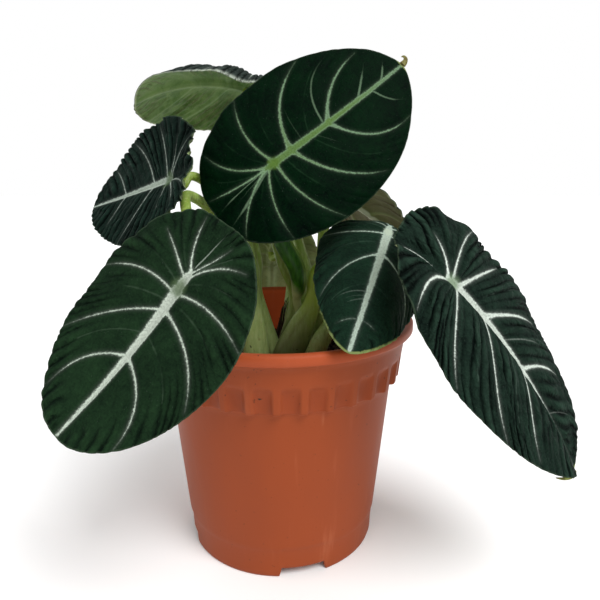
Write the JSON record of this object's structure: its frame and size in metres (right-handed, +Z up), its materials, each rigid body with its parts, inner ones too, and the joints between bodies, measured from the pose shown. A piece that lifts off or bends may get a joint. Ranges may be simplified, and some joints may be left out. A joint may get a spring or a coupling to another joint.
{
  "type": "potted ninja alocasia",
  "caption": "Small aroid house plant with oval dark leaves on arching stalks and a young furled leaf, in soil in a fluted-collar nursery pot.",
  "frame": {"origin": "Middle of the flat disc under the pot, on the surface that the pot stands on.", "axes": "+Z is up. The pictured front faces -Y, and +X is the picture's right."},
  "size_m": [0.2114, 0.1697, 0.2199],
  "materials": {
    "pot_plastic": "terracotta coloured, smooth and a little worn",
    "potting_mix": "dark, moist and crumbly",
    "leaf_blade": "velvety black green with pale veins above, sage below",
    "leaf_stalk": "pale green, smooth, with a papery sheath",
    "young_leaf": "fresh dark green, satin"
  },
  "bodies": {
    "root": {"pot": "pot_plastic", "soil": "potting_mix", "top_leaf_blade": "leaf_blade", "top_leaf_stalk": "leaf_stalk", "front_left_leaf_blade": "leaf_blade", "front_left_leaf_stalk": "leaf_stalk", "left_leaf_blade": "leaf_blade", "left_leaf_stalk": "leaf_stalk", "back_left_leaf_blade": "leaf_blade", "back_left_leaf_stalk": "leaf_stalk", "right_leaf_blade": "leaf_blade", "right_leaf_stalk": "leaf_stalk", "far_right_leaf_blade": "leaf_blade", "far_right_leaf_stalk": "leaf_stalk", "back_right_leaf_blade": "leaf_blade", "back_right_leaf_stalk": "leaf_stalk", "back_leaf_blade": "leaf_blade", "back_leaf_stalk": "leaf_stalk", "furled_leaf": "young_leaf"}
  },
  "joints": []
}
